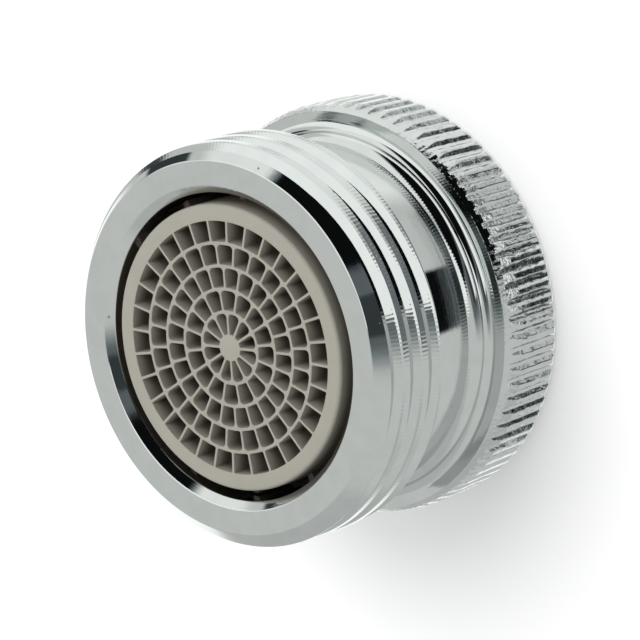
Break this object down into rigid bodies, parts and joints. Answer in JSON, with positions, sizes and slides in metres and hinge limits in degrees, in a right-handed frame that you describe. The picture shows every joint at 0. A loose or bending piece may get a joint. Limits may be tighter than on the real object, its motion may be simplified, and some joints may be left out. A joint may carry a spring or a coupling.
{
  "type": "tap hose adapter",
  "caption": "Chromed tap hose adapter with a knurled collar, a hose thread around its outlet and an aerator cartridge inside.",
  "frame": {"origin": "on the axis, in the plane of the collar's back, where the tap goes in", "axes": "+Z along the axis towards the outlet, so that the part stands on its collar with the grid on top"},
  "size_m": [0.0272, 0.0272, 0.0168],
  "materials": {
    "body_chrome": "bright chrome plating on turned brass",
    "washer_rubber": "smooth matt",
    "housing_plastic": "moulded, satin",
    "screen_steel": "woven wire, plain",
    "spacer_plastic": "moulded, satin",
    "plate_plastic": "moulded, satin",
    "dome_plastic": "moulded, satin"
  },
  "bodies": {
    "root": {"adapter_body": "body_chrome", "sealing_washer": "washer_rubber", "aerator_housing": "housing_plastic", "outlet_screen": "screen_steel", "screen_spacer": "spacer_plastic", "inlet_screen": "screen_steel", "jet_plate": "plate_plastic", "filter_dome": "dome_plastic"}
  },
  "joints": []
}
